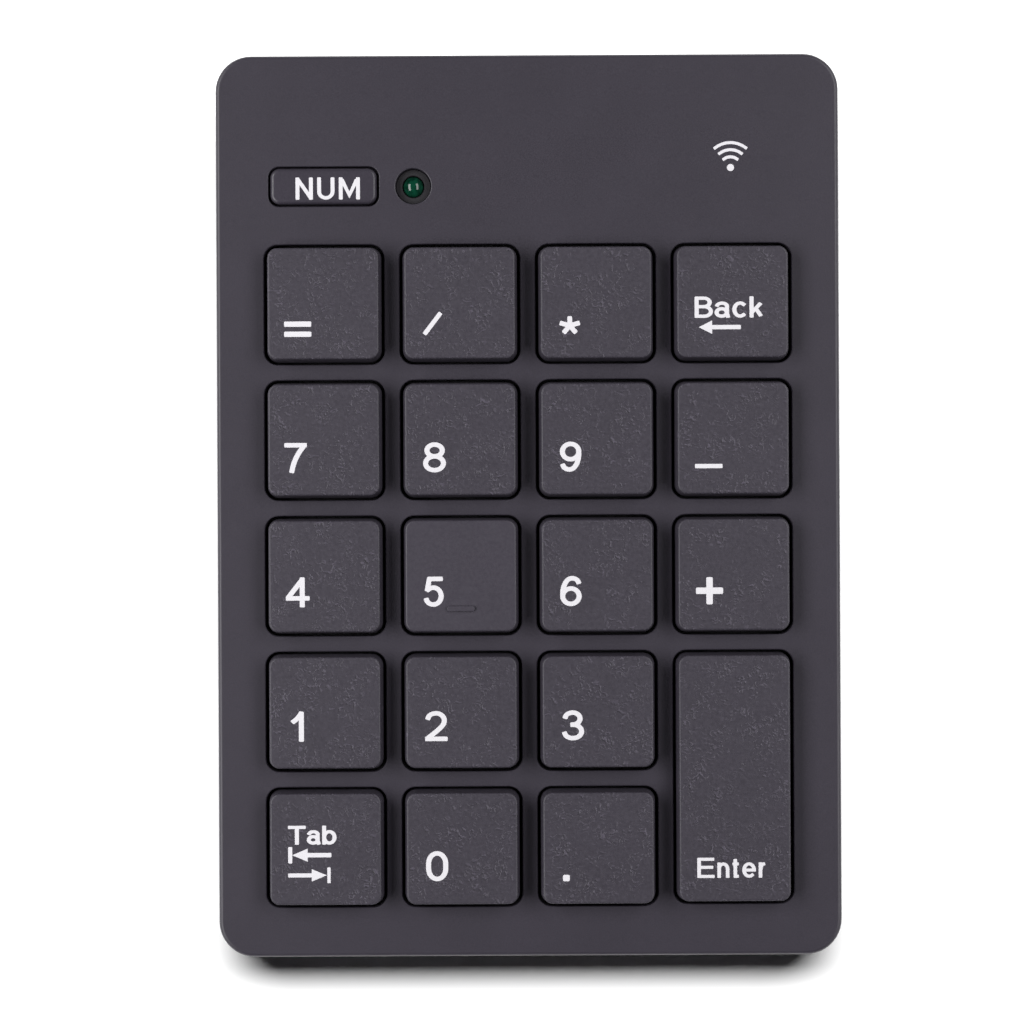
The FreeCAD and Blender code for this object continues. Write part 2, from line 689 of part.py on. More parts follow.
def make_guide_plate():
    plate = stack_layer(-GUIDE_BOTTOM, -GUIDE_TOP, CLEAR_HOLE_R)
    chimneys = [
        slab(CHIMNEY, CHIMNEY, CHIMNEY_R, -GUIDE_BOTTOM, -CHIMNEY_TOP, x, y) for x, y, _ in KEYS.values()
    ]
    sleeves = [rod(x, y, BOSS_R, -SHEET_TOP, -GUIDE_BOTTOM + MERGE) for x, y in stack_screw_places()]
    clips = [wire_clip(side) for side in (-1, 1)]
    plate = plate.fuse(chimneys + sleeves + clips)
    bores = [slab(BORE, BORE, BORE_R, -DEEP, 0, x, y) for x, y, _ in KEYS.values()]
    holes = [rod(x, y, CLEAR_HOLE_R, -DEEP, 0) for x, y in stack_screw_places()]
    return on_deck(plate.cut(bores + holes + [wire_groove()]).removeSplitter())


def dome_profile(points, x, y):
    """Solid turned about a key's axis from (radius, height) points."""
    corners = [V(x + r, y, z) for r, z in points]
    face = Part.Face(Part.makePolygon(corners + corners[:1]))
    return face.revolve(V(x, y, 0), V(0, 0, 1), 360)


def make_dome_sheet():
    top, low = -DOME_TOP, -SHEET_TOP
    shoulder_r, shoulder = DOME_SHOULDER
    crown_r, crown = DOME_CROWN
    cup_wall, cup_roof = (top - depth for depth in CUP_CROWN_DEPTHS)
    outer = (
        (0, low - MERGE), (DOME_R, low - MERGE), (DOME_R, low), (shoulder_r, low + shoulder),
        (crown_r, top - crown), (crown_r, top), (0, top),
    )
    inner = (
        (0, -SHEET_BOTTOM - MERGE), (CUP_R, -SHEET_BOTTOM - MERGE), (CUP_R, low + MERGE),
        (CUP_CROWN_R, cup_wall), (CUP_CROWN_R, cup_roof), (NIB_R, cup_roof),
        (NIB_R, top - NIB_DEPTH), (0, top - NIB_DEPTH),
    )
    sheet = stack_layer(-SHEET_BOTTOM, -SHEET_TOP, CLEAR_HOLE_R)
    sheet = sheet.fuse([dome_profile(outer, x, y) for x, y, _ in KEYS.values()])
    sheet = sheet.cut([dome_profile(inner, x, y) for x, y, _ in KEYS.values()])
    return on_deck(sheet.removeSplitter())


def make_films():
    """Three-layer contact film; the lowest layer has a tail that reaches the circuit board."""
    levels = [-SHEET_BOTTOM - n * FILM for n in range(4)]
    upper, spacer, lower = (stack_layer(b, a, FILM_SCREW_HOLE_R) for a, b in zip(levels, levels[1:]))
    spacer = spacer.cut([rod(x, y, FILM_HOLE_R, -DEEP, 0) for x, y, _ in KEYS.values()])
    lower = lower.fuse(box(TAIL_X, TAIL_Y, (levels[3], levels[2])))
    lower = lower.cut([rod(x, y, CLEAR_HOLE_R, -DEEP, 0) for x, y in CLAMP_SCREWS])
    shapes = (upper, spacer, lower.removeSplitter())
    return dict(zip(("film_upper", "film_spacer", "film_lower"), map(on_deck, shapes)))


def make_base_plate():
    return on_deck(stack_layer(-PLATE_BOTTOM, -PLATE_TOP, CLEAR_HOLE_R))


def pan_screw(x, y, seat, tip):
    """Small screw driven upwards, its head under the seat, with a cross recess."""
    face = seat - SMALL_HEAD
    head = rod(x, y, SMALL_HEAD_R, face, seat)
    head = head.makeFillet(SMALL_HEAD_EDGE_R, edges_at(head, face))
    return cross_recess(head.fuse(rod(x, y, SCREW_R, seat - MERGE, tip)), x, y, face, SMALL_RECESS)


def cross_recess(screw, x, y, face, arm):
    """Cuts a cross for the driver, arm long each way, into a head's lower face."""
    half, deep = RECESS_HALF, (face - 1, face + RECESS_DEEP)
    cross = [
        box((x - arm, x + arm), (y - half, y + half), deep),
        box((x - half, x + half), (y - arm, y + arm), deep),
    ]
    return screw.cut(cross).removeSplitter()


def make_small_screws():
    stack = [pan_screw(x, y, -PLATE_BOTTOM, -STACK_SCREW_TIP) for x, y in stack_screw_places()]
    board = [pan_screw(x, y, -BOARD_BOTTOM, -BOARD_SCREW_TIP) for x, y in (*CLAMP_SCREWS, BOARD_SCREW)]
    return {
        "stack_screws": on_deck(Part.makeCompound(stack)),
        "board_screws": on_deck(Part.makeCompound(board)),
    }


def make_case_screws():
    made = []
    face, tip = HEAD_SEAT_Z - CASE_HEAD, HEAD_SEAT_Z + CASE_SCREW_LONG
    for x, y in CASE_SCREWS:
        head = rod(x, y, CASE_HEAD_R, face, HEAD_SEAT_Z)
        head = head.makeFillet(CASE_HEAD_EDGE_R, edges_at(head, face))
        shank = rod(x, y, CASE_SCREW_R, HEAD_SEAT_Z - MERGE, tip)
        shank = shank.makeChamfer(CASE_SCREW_POINT, edges_at(shank, tip))
        made.append(cross_recess(head.fuse(shank), x, y, face, CASE_RECESS))
    return Part.makeCompound(made)


# ---------------------------------------------------------------- number-lock button and lamp

def make_num_button():
    top = -DECK_THICK - NUM_FLANGE_GAP
    cap = slab(*NUM_CAP, NUM_CAP_R, top - MERGE, NUM_HEIGHT, NUM_X, NUM_Y)
    cap = cap.makeFillet(NUM_EDGE_R, edges_at(cap, NUM_HEIGHT))
    flange = slab(*NUM_FLANGE, NUM_FLANGE_R, top - NUM_FLANGE_TALL, top, NUM_X, NUM_Y)
    stem = rod(NUM_X, NUM_Y, NUM_STEM_R, -TACT_STEM_TOP, top - NUM_FLANGE_TALL + MERGE)
    return on_deck(join([cap, flange, stem]))


def make_tact_switch():
    half = TACT / 2
    top = -BOARD_TOP + TACT_TALL
    well_r, well_deep = TACT_WELL
    leg_out, leg_wide, leg_tall = TACT_LEG
    body = slab(TACT, TACT, TACT_CORNER_R, -BOARD_TOP, top, NUM_X, NUM_Y)
    legs = []
    for side in (-1, 1):
        x = sorted((NUM_X + side * (half - MERGE), NUM_X + side * (half + leg_out)))
        for y in (NUM_Y - TACT_LEG_Y, NUM_Y + TACT_LEG_Y):
            legs.append(box(x, (y - leg_wide / 2, y + leg_wide / 2), (-BOARD_TOP, -BOARD_TOP + leg_tall)))
    body = body.cut(rod(NUM_X, NUM_Y, well_r, top - well_deep, top + 1)).fuse(legs).removeSplitter()
    plunger = rod(NUM_X, NUM_Y, TACT_STEM_R, top - well_deep / 2, -TACT_STEM_TOP)
    return {"tact_switch": on_deck(body), "tact_plunger": on_deck(plunger)}


def make_lamp():
    dome_z = -LAMP_TOP - LAMP_R
    foot_z = dome_z - LAMP_TALL
    rim_r, rim_tall = LAMP_RIM
    lens = rod(LAMP_X, LAMP_Y, LAMP_R, foot_z, dome_z)
    dome = Part.makeSphere(LAMP_R, V(LAMP_X, LAMP_Y, dome_z), V(0, 0, 1), 0, 90, 360)
    lens = lens.fuse([dome, rod(LAMP_X, LAMP_Y, rim_r, foot_z, foot_z + rim_tall)]).removeSplitter()
    leads = []
    for x in (LAMP_X - LEAD_X, LAMP_X + LEAD_X):
        across, along = (x - LEAD_HALF, x + LEAD_HALF), (LAMP_Y - LEAD_HALF, LAMP_Y + LEAD_HALF)
        leads.append(box(across, along, (-BOARD_TOP, foot_z)))
    return {"lamp_lens": on_deck(lens), "lamp_leads": on_deck(Part.makeCompound(leads))}


# ---------------------------------------------------------------- circuit board

def make_radio_chip():
    """Chip with a row of pins along each of its long sides."""
    body = box(CHIP_X, CHIP_Y, (-BOARD_TOP, -BOARD_TOP + CHIP_TALL))
    first = sum(CHIP_X) / 2 - (PINS - 1) / 2 * PIN_PITCH
    along = (CHIP_Y[0] - PIN_OUT, CHIP_Y[1] + PIN_OUT)
    pins = []
    for n in range(PINS):
        x = first + n * PIN_PITCH
        pins.append(box((x - PIN_WIDE / 2, x + PIN_WIDE / 2), along, (-BOARD_TOP, -BOARD_TOP + PIN_TALL)))
    return join([body, *pins])


def make_board():
    board = box(BOARD_X, BOARD_Y, (-BOARD_BOTTOM, -BOARD_TOP))
    strip_low = -BOARD_TOP + FILM
    clamp_low = strip_low + STRIP_TALL
    strip = box(TAIL_X, STRIP_Y, (strip_low, clamp_low))
    clamp_x = (TAIL_X[0] - CLAMP_OVERHANG, TAIL_X[1] + CLAMP_OVERHANG)
    clamp = box(clamp_x, CLAMP_Y, (clamp_low, clamp_low + CLAMP_TALL))
    clamp_holes = [rod(x, y, CLEAR_HOLE_R, -DEEP, 0) for x, y in CLAMP_SCREWS]
    shapes = {
        "circuit_board": board.cut([*clamp_holes, rod(*BOARD_SCREW, CLEAR_HOLE_R, -DEEP, 0)]),
        "radio_chip": make_radio_chip(),
        "crystal": slab(*CRYSTAL, -BOARD_TOP, -BOARD_TOP + CRYSTAL_TALL, *CRYSTAL_AT),
        "film_pressure_strip": strip.cut(clamp_holes),
        "film_clamp_bar": clamp.cut(clamp_holes),
    }
    return {name: on_deck(shape) for name, shape in shapes.items()}


# ---------------------------------------------------------------- battery and contacts

def lying_rod(radius, x, y=CELL_Y, z=CELL_Z):
    """Cylinder along X between two limits."""
    return Part.makeCylinder(radius, x[1] - x[0], V(x[0], y, z), V(1, 0, 0))


def make_cell():
    can = lying_rod(CELL_R, (CELL_PLUS_X - CELL_LONG, CELL_PLUS_X - CELL_NUB))
    ends = [e for e in can.Edges if e.Curve.TypeId == "Part::GeomCircle"]
    can = can.makeFillet(CELL_EDGE_R, ends)
    nub = lying_rod(CELL_NUB_R, (CELL_PLUS_X - CELL_NUB - MERGE, CELL_PLUS_X))
    return join([can, nub])


def contact_plate(side):
    """Flat plate at one end of the bay with a tail to the circuit board."""
    x = sorted((side * (BAY_X - CONTACT_THICK), side * BAY_X))
    front, rear = BAY_Y[0] + CONTACT_INSET, BAY_Y[1] - CONTACT_INSET
    return [box(x, (front, rear), CONTACT_Z), box(x, (CONTACT_TAIL_Y, front + MERGE), CONTACT_TAIL_Z)]


def contact_leaf():
    """Bowed leaf spring that presses the flat end of the cell."""
    root = -BAY_X + CONTACT_THICK - MERGE
    crest = CELL_PLUS_X - CELL_LONG - CELL_GAP
    low = CELL_Z - LEAF_HALF_TALL

    def bow(crest, spread):
        ends = V(root, CELL_Y - spread, low), V(root, CELL_Y + spread, low)
        arc = Part.Arc(ends[0], V(crest, CELL_Y, low), ends[1]).toShape()
        face = Part.Face(Part.Wire([arc, Part.makeLine(ends[1], ends[0])]))
        return face.extrude(V(0, 0, 2 * LEAF_HALF_TALL))

    return bow(crest, LEAF_HALF_SPAN).cut(bow(crest - LEAF_THICK, LEAF_HALF_SPAN - LEAF_THICK))


def make_contacts():
    button = lying_rod(CONTACT_BUTTON_R, (CELL_PLUS_X + CELL_GAP, BAY_X - CONTACT_THICK + MERGE))
    return {
        "battery_contact_plus": join([*contact_plate(1), button]),
        "battery_contact_minus": join([*contact_plate(-1), contact_leaf()]),
    }


# ---------------------------------------------------------------- power switch

def switch_window():
    """Slot in the floor that the power knob shows through."""
    wide = KNOB[0] + SWITCH_TRAVEL + 2 * KNOB_ROOM
    deep = KNOB[1] + 2 * KNOB_ROOM
    return slab(wide, deep, KNOB_WINDOW_R, 0, FLOOR_TOP_Z + 1, SWITCH_X + SWITCH_TRAVEL / 2, SWITCH_Y)


def switch_solid(shape):
    """Carries a shape made round the switch, height 0 on the board's lower face, to the row frame."""
    on_board = (SWITCH_Y - DECK_MIDDLE_Y) / math.cos(math.radians(TILT_DEG))
    shape.translate(V(SWITCH_X, on_board - SWITCH_BODY_BACK, -BOARD_BOTTOM))
    return on_deck(shape)


def make_slide_switch():
    """Switch body under the board, its slot, and the lever that slides in it."""
    long, wide, tall = SWITCH_BODY
    middle = SWITCH_TRAVEL / 2
    body = box((middle - long / 2, middle + long / 2), (-wide / 2, wide / 2), (-tall, 0))
    slot_x = (-SWITCH_SLOT_END, SWITCH_TRAVEL + SWITCH_SLOT_END)
    slot = box(slot_x, (-SWITCH_SLOT_HALF, SWITCH_SLOT_HALF), (-tall - 1, -tall + SWITCH_SLOT_DEEP))
    across, along = LEVER
    lever = box((-across / 2, across / 2), (-along / 2, along / 2), (-tall - LEVER_OUT, -tall + LEVER_IN))
    return body.cut(slot), lever


def make_knob():
    """Grooved knob in the floor's window, on a plate with two cheeks that straddle the lever."""
    low = FLOOR_TOP_Z + KNOB_PLATE_GAP
    wide, deep, thick = KNOB_PLATE
    groove_wide, groove_deep = KNOB_GROOVE
    knob = slab(*KNOB, KNOB_R, KNOB_LOW_Z, low + MERGE, SWITCH_X, SWITCH_Y)
    for dx in KNOB_GROOVES_X:
        groove_x = (SWITCH_X + dx - groove_wide / 2, SWITCH_X + dx + groove_wide / 2)
        knob = knob.cut(box(groove_x, (0, FAR), (0, KNOB_LOW_Z + groove_deep)))
    plate_x = (SWITCH_X - wide / 2, SWITCH_X + wide / 2)
    plate = box(plate_x, (SWITCH_Y - deep / 2, SWITCH_Y + deep / 2), (low, low + thick))
    cheek_y = (SWITCH_Y - CHEEK_HALF_Y, SWITCH_Y + CHEEK_HALF_Y)
    cheek_z = (low + thick - MERGE, low + thick + CHEEK_TALL)
    cheeks = []
    for side in (-1, 1):
        x = sorted(SWITCH_X + side * edge for edge in CHEEK_X)
        cheeks.append(box(x, cheek_y, cheek_z))
    return join([knob, plate, *cheeks])


def make_power_switch():
    body, lever = make_slide_switch()
    return {
        "power_switch_body": switch_solid(body),
        "power_switch_lever": switch_solid(lever),
        "power_switch_knob": make_knob(),
    }


# ---------------------------------------------------------------- all sub-parts

def make_all():
    shapes = {
        "top_case": make_top_case(),
        "bottom_case": make_bottom_case(),
        "battery_door": make_battery_door(),
        "case_screws": make_case_screws(),
        "guide_plate": make_guide_plate(),
        "rubber_dome_sheet": make_dome_sheet(),
        "base_plate": make_base_plate(),
        "num_button": make_num_button(),
        "enter_stabiliser": make_stabiliser(),
        "battery_cell": make_cell(),
    }
    for group in (
        make_feet(), make_films(), make_small_screws(), make_tact_switch(), make_lamp(), make_board(),
        make_contacts(), make_power_switch(),
    ):
        shapes.update(group)
    for name in KEYS:
        shapes["key_" + name] = make_key(name)
    return shapes


def main():
    os.makedirs("parts", exist_ok=True)
    for name, shape in make_all().items():
        solids = shape.Solids
        sound = shape.isValid() and solids and all(s.isClosed() and s.Volume > 0 for s in solids)
        b = shape.BoundBox
        print("%-22s %d solid(s) %9.2f mm3  x %7.2f %7.2f  y %7.2f %7.2f  z %6.2f %6.2f %s" % (
            name, len(solids), shape.Volume, b.XMin, b.XMax, b.YMin, b.YMax, b.ZMin, b.ZMax,
            "" if sound else "UNSOUND"))
        whole = solids[0] if len(solids) == 1 else Part.makeCompound(solids)
        whole.exportStep(os.path.join("parts", name + ".step"))


main()
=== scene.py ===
import json
import math

import bmesh
import bpy
from mathutils import Matrix, Vector
from mathutils.geometry import delaunay_2d_cdt


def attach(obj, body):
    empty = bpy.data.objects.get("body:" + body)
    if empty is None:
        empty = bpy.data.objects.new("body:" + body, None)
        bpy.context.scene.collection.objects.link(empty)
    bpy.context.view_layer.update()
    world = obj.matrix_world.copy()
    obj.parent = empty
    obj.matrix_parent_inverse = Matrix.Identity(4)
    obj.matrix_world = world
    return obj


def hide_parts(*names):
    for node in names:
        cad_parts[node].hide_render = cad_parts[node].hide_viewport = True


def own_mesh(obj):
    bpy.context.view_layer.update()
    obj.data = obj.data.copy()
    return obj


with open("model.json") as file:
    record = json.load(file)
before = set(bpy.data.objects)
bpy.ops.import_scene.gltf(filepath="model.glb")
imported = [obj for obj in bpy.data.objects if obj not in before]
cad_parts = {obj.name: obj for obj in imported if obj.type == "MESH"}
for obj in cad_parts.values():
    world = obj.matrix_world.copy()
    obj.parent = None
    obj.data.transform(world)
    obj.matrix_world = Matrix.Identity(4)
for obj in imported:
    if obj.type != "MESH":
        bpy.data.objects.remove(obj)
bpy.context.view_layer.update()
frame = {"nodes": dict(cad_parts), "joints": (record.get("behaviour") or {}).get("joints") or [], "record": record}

MM = 0.001

# ---- the deck's own frame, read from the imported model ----
JOINTS = {joint["name"]: joint for joint in frame["joints"]}
UP = -Vector(JOINTS["key_5_press"]["axis"]).normalized()   # square to the deck, away from the desk
RIGHT = Vector((1, 0, 0))
REAR = UP.cross(RIGHT)                                      # along the deck, towards the rear


def deck_span(node, axis):
    """Lowest and highest reach of a CAD node along a direction, in metres."""
    reach = [v.co.dot(axis) for v in frame["nodes"][node].data.vertices]
    return min(reach), max(reach)


def middle(span):
    return (span[0] + span[1]) / 2


KEY_TOP = deck_span("key_4", UP)[1]          # every key top lies in one plane
BUTTON_TOP = deck_span("num_button", UP)[1]
DECK = deck_span("top_case", UP)[1]


# ================================================================ materials

def new_material(name):
    """Empty node material with its shader, and short ways to add nodes to it."""
    mat = bpy.data.materials.new(name)
    mat.use_nodes = True
    tree = mat.node_tree
    return mat, tree, tree.nodes["Principled BSDF"]


def texture(tree, kind, feature_mm, offset_mm=0.0, **values):
    """Texture fixed to the object, with features about feature_mm across, moved by offset_mm in X and Y."""
    place = tree.nodes.new("ShaderNodeTexCoord").outputs["Object"]
    if offset_mm:
        shift = tree.nodes.new("ShaderNodeVectorMath")
        tree.links.new(place, shift.inputs[0])
        shift.inputs[1].default_value = (offset_mm * MM, offset_mm * MM, 0)
        place = shift.outputs["Vector"]
    node = tree.nodes.new(kind)
    tree.links.new(place, node.inputs["Vector"])
    node.inputs["Scale"].default_value = 1 / (feature_mm * MM)
    for socket, value in values.items():
        node.inputs[socket.replace("_", " ")].default_value = value
    return node


def ramp(tree, source, stops):
    """Colour ramp: stops are (place, colour) pairs, a colour being a grey or an (r, g, b)."""
    node = tree.nodes.new("ShaderNodeValToRGB")
    tree.links.new(source, node.inputs["Fac"])
    line = node.color_ramp
    while len(line.elements) < len(stops):
        line.elements.new(1.0)
    for element, (at, colour) in zip(line.elements, stops):
        rgb = colour if isinstance(colour, tuple) else (colour,) * 3
        element.position = at
        element.color = (*rgb, 1)
    return node.outputs["Color"]


def blend_colours(tree, kind, first, second):
    """Second colour socket laid over the first in full, as kind says."""
    node = tree.nodes.new("ShaderNodeMix")
    node.data_type = "RGBA"
    node.blend_type = kind
    node.inputs["Factor"].default_value = 1.0
    tree.links.new(first, node.inputs["A"])
    tree.links.new(second, node.inputs["B"])
    return node.outputs["Result"]


def bump(tree, shader, height, depth_mm):
    """Gives the shader a relief of about depth_mm."""
    node = tree.nodes.new("ShaderNodeBump")
    node.inputs["Strength"].default_value = 1.0
    node.inputs["Distance"].default_value = depth_mm * MM
    tree.links.new(height, node.inputs["Height"])
    tree.links.new(node.outputs["Normal"], shader.inputs["Normal"])


def tinted(grey, tint):
    """A grey with a slight tint."""
    return tuple(grey * t for t in tint)


CHARCOAL = (0.99, 0.86, 1.18)      # tint of a plastic that has none of its own


def moulded_plastic(name, grey, rough, grain_mm, relief_mm, spread=0.12, tint=CHARCOAL):
    """Moulded plastic: fine even grain, slow drift in tone, roughness that varies a little."""
    mat, tree, shader = new_material(name)
    grain = texture(tree, "ShaderNodeTexNoise", grain_mm, Detail=3.0, Roughness=0.6)
    drift = texture(tree, "ShaderNodeTexNoise", 9.0, Detail=2.0)
    fine = ramp(tree, grain.outputs["Fac"], [
        (0.30, tinted(grey * (1 - spread), tint)), (0.70, tinted(grey * (1 + spread), tint)),
    ])
    slow = ramp(tree, drift.outputs["Fac"], [(0.35, 0.94), (0.65, 1.0)])
    tree.links.new(blend_colours(tree, "MULTIPLY", fine, slow), shader.inputs["Base Color"])
    tree.links.new(
        ramp(tree, grain.outputs["Fac"], [(0.3, rough - 0.05), (0.7, rough + 0.05)]),
        shader.inputs["Roughness"],
    )
    bump(tree, shader, grain.outputs["Fac"], relief_mm)
    return mat


FIBRE = {"feature_mm": 1.1, "Detail": 1.5, "Roughness": 0.5, "Distortion": 3.0}
FIBRE_RIDGE = (0.56, 0.68)         # texture values where a fibre begins and where it is at its full height
FIBRE_SHADOW_MM = 0.16             # from a fibre to its painted shadow, in X and in Y
FIBRE_SHADE = 9                    # darkness of a fibre's painted shadow, as a multiple of the fibre's paleness


def key_plastic(name, grey, speck, rough, uneven=0.10, relief=0.03):
    """Key caps: matte, with short raised fibres that lie thickly in some places and thinly in others.

    Each fibre is a pale ridge whose paleness is partly a painted highlight, with a painted shadow in the colour
    just beside it.
    """
    mat, tree, shader = new_material(name)
    mottle = texture(tree, "ShaderNodeTexNoise", 0.5, Detail=4.0, Roughness=0.6)
    fibres = texture(tree, "ShaderNodeTexNoise", **FIBRE)
    # painted shadow: the fibre texture, moved by FIBRE_SHADOW_MM, darkens the colour just beside each fibre
    shadows = texture(tree, "ShaderNodeTexNoise", offset_mm=FIBRE_SHADOW_MM, **FIBRE)
    patches = texture(tree, "ShaderNodeTexNoise", 3.0, Detail=2.0)
    drift = texture(tree, "ShaderNodeTexNoise", 8.0, Detail=2.0)
    base = ramp(tree, mottle.outputs["Fac"], [
        (0.30, tinted(grey * (1 - uneven), CHARCOAL)), (0.70, tinted(grey * (1 + uneven), CHARCOAL)),
    ])
    slow = ramp(tree, drift.outputs["Fac"], [(0.35, 0.95), (0.65, 1.0)])
    toned = blend_colours(tree, "MULTIPLY", base, slow)
    thick = ramp(tree, patches.outputs["Fac"], [(0.42, 0.15), (0.60, 1.0)])
    rise = list(zip(FIBRE_RIDGE, (0.0, 1.0)))
    ridges = ramp(tree, fibres.outputs["Fac"], rise)
    painted_shadow_lines = ramp(tree, shadows.outputs["Fac"], rise)
    marks = blend_colours(tree, "MULTIPLY", ridges, thick)
    painted_shadow_marks = blend_colours(tree, "MULTIPLY", painted_shadow_lines, thick)
    # the fibres' paleness is partly their own lighter colour and partly a painted highlight on their lit side
    pale = ramp(tree, marks, [(0.0, 0.0), (1.0, tinted(speck, CHARCOAL))])
    dark = ramp(tree, painted_shadow_marks, [(0.0, 1.0), (1.0, 1 - FIBRE_SHADE * speck)])
    shaded = blend_colours(tree, "MULTIPLY", toned, dark)
    tree.links.new(blend_colours(tree, "ADD", shaded, pale), shader.inputs["Base Color"])
    tree.links.new(
        ramp(tree, mottle.outputs["Fac"], [(0.3, rough - 0.06), (0.7, rough + 0.06)]),
        shader.inputs["Roughness"],
    )
    bump(tree, shader, marks, relief)
    return mat


def print_ink(name):
    """White pad printing, with thin spots where the plastic's grain shows."""
    mat, tree, shader = new_material(name)
    wear = texture(tree, "ShaderNodeTexNoise", 0.35, Detail=4.0, Roughness=0.7)
    tree.links.new(
        ramp(tree, wear.outputs["Fac"], [(0.25, (0.70, 0.685, 0.72)), (0.45, (0.82, 0.80, 0.84))]),
        shader.inputs["Base Color"],
    )
    shader.inputs["Roughness"].default_value = 0.5
    bump(tree, shader, wear.outputs["Fac"], 0.01)
    return mat


def rubber(name, grey):
    """Soft rubber: dull, lightly dusted."""
    mat, tree, shader = new_material(name)
    dust = texture(tree, "ShaderNodeTexNoise", 0.25, Detail=6.0, Roughness=0.7)
    tree.links.new(
        ramp(tree, dust.outputs["Fac"], [(0.35, grey * 0.8), (0.6, grey), (0.8, grey * 1.6)]),
        shader.inputs["Base Color"],
    )
    tree.links.new(ramp(tree, dust.outputs["Fac"], [(0.3, 0.72), (0.7, 0.9)]), shader.inputs["Roughness"])
    bump(tree, shader, dust.outputs["Fac"], 0.02)
    return mat


STREAK_SQUEEZE = 0.08              # a streak is this share as wide as it is long


def metal(name, colour, rough, streak_mm):
    """Metal with fine drawn streaks along X."""
    mat, tree, shader = new_material(name)
    streaks = texture(tree, "ShaderNodeTexNoise", streak_mm, Detail=3.0, Roughness=0.6)
    stretch = tree.nodes.new("ShaderNodeMapping")
    place = streaks.inputs["Vector"].links[0].from_socket
    tree.links.new(place, stretch.inputs["Vector"])
    stretch.inputs["Scale"].default_value = (STREAK_SQUEEZE, 1, 1)
    tree.links.new(stretch.outputs["Vector"], streaks.inputs["Vector"])
    tree.links.new(
        ramp(tree, streaks.outputs["Fac"], [(0.3, tinted(0.8, colour)), (0.7, colour)]),
        shader.inputs["Base Color"],
    )
    shader.inputs["Metallic"].default_value = 1.0
    tree.links.new(
        ramp(tree, streaks.outputs["Fac"], [(0.3, rough), (0.7, rough + 0.12)]),
        shader.inputs["Roughness"],
    )
    bump(tree, shader, streaks.outputs["Fac"], 0.004)
    return mat


def lens(name):
    """Tinted green lamp lens: clear skin over a darker, cloudy body."""
    mat, tree, shader = new_material(name)
    cloud = texture(tree, "ShaderNodeTexNoise", 0.9, Detail=3.0)
    tree.links.new(
        ramp(tree, cloud.outputs["Fac"], [(0.35, (0.001, 0.022, 0.012)), (0.65, (0.004, 0.06, 0.032))]),
        shader.inputs["Base Color"],
    )
    shader.inputs["Roughness"].default_value = 0.06
    shader.inputs["IOR"].default_value = 1.54
    return mat


def laminate(name):
    """Circuit board: green mask over faint tracks."""
    mat, tree, shader = new_material(name)
    tracks = texture(tree, "ShaderNodeTexBrick", 4.0, Mortar_Size=0.03)
    tracks.inputs["Color1"].default_value = (0.004, 0.060, 0.022, 1)
    tracks.inputs["Color2"].default_value = (0.006, 0.075, 0.028, 1)
    tracks.inputs["Mortar"].default_value = (0.012, 0.130, 0.050, 1)
    tree.links.new(tracks.outputs["Color"], shader.inputs["Base Color"])
    weave = texture(tree, "ShaderNodeTexNoise", 0.3, Detail=3.0)
    tree.links.new(ramp(tree, weave.outputs["Fac"], [(0.3, 0.25), (0.7, 0.4)]), shader.inputs["Roughness"])
    bump(tree, shader, tracks.outputs["Fac"], 0.02)
    return mat


MATERIALS = {
    "case_plastic": moulded_plastic("case_plastic", 0.042, 0.42, 0.16, 0.006),
    "base_plastic": moulded_plastic("base_plastic", 0.034, 0.55, 0.30, 0.030, spread=0.2),
    "key_plastic": key_plastic("key_plastic", 0.044, 0.045, 0.5),
    "button_plastic": moulded_plastic("button_plastic", 0.045, 0.36, 0.16, 0.005),
    "inner_plastic": moulded_plastic("inner_plastic", 0.012, 0.6, 0.3, 0.01),
    "switch_black": moulded_plastic("switch_black", 0.012, 0.35, 0.2, 0.006),
    "foot_rubber": rubber("foot_rubber", 0.022),
    "dome_rubber": rubber("dome_rubber", 0.10),
    "contact_film": moulded_plastic("contact_film", 0.35, 0.2, 0.4, 0.004, tint=(0.93, 0.97, 1.0)),
    "sheet_steel": metal("sheet_steel", (0.55, 0.55, 0.56), 0.35, 0.25),
    "spring_steel": metal("spring_steel", (0.50, 0.50, 0.50), 0.25, 0.1),
    "screw_steel": metal("screw_steel", (0.09, 0.09, 0.095), 0.35, 0.12),
    "contact_metal": metal("contact_metal", (0.70, 0.69, 0.66), 0.2, 0.15),
    "board_laminate": laminate("board_laminate"),
    "green_lens": lens("green_lens"),
    "cell_sleeve": moulded_plastic("cell_sleeve", 0.10, 0.3, 0.5, 0.004, tint=(0.9, 1.0, 1.1)),
}
INK = print_ink("white_print")
SMOOTH_KEY = key_plastic("key_plastic_smooth", 0.048, 0.002, 0.48, uneven=0.03, relief=0.003)

for part in frame["record"]["subparts"]:
    for place in frame["nodes"][part["node"]].material_slots:
        place.material = SMOOTH_KEY if part["node"] == "key_5" else MATERIALS[part["material_slot"]]


# ================================================================ printed legends

ARC_STEP = 9                       # about how many degrees of an arc lie between its points
CURVE_STEPS = 8
END_CORNER = 0.22                  # radius of the corners at a stroke's end, as a share of its width
END_CORNER_STEPS = 4
LEAST_MITRE = 0.5                  # keeps the corner of a sharp bend within a stroke's width of its path


def line(*points):
    return [Vector(p) for p in points]


def arc(x, y, rx, ry, start, end):
    """Points along an ellipse, from one angle to another in degrees."""
    steps = max(2, round(abs(end - start) / ARC_STEP))
    angles = [math.radians(start + (end - start) * n / steps) for n in range(steps + 1)]
    return [Vector((x + rx * math.cos(a), y + ry * math.sin(a))) for a in angles]


def curve(first, pull, last):
    """Points along a parabola pulled towards a point."""
    a, b, c = Vector(first), Vector(pull), Vector(last)
    places = [n / CURVE_STEPS for n in range(CURVE_STEPS + 1)]
    return [a * (1 - t) ** 2 + b * 2 * t * (1 - t) + c * t * t for t in places]


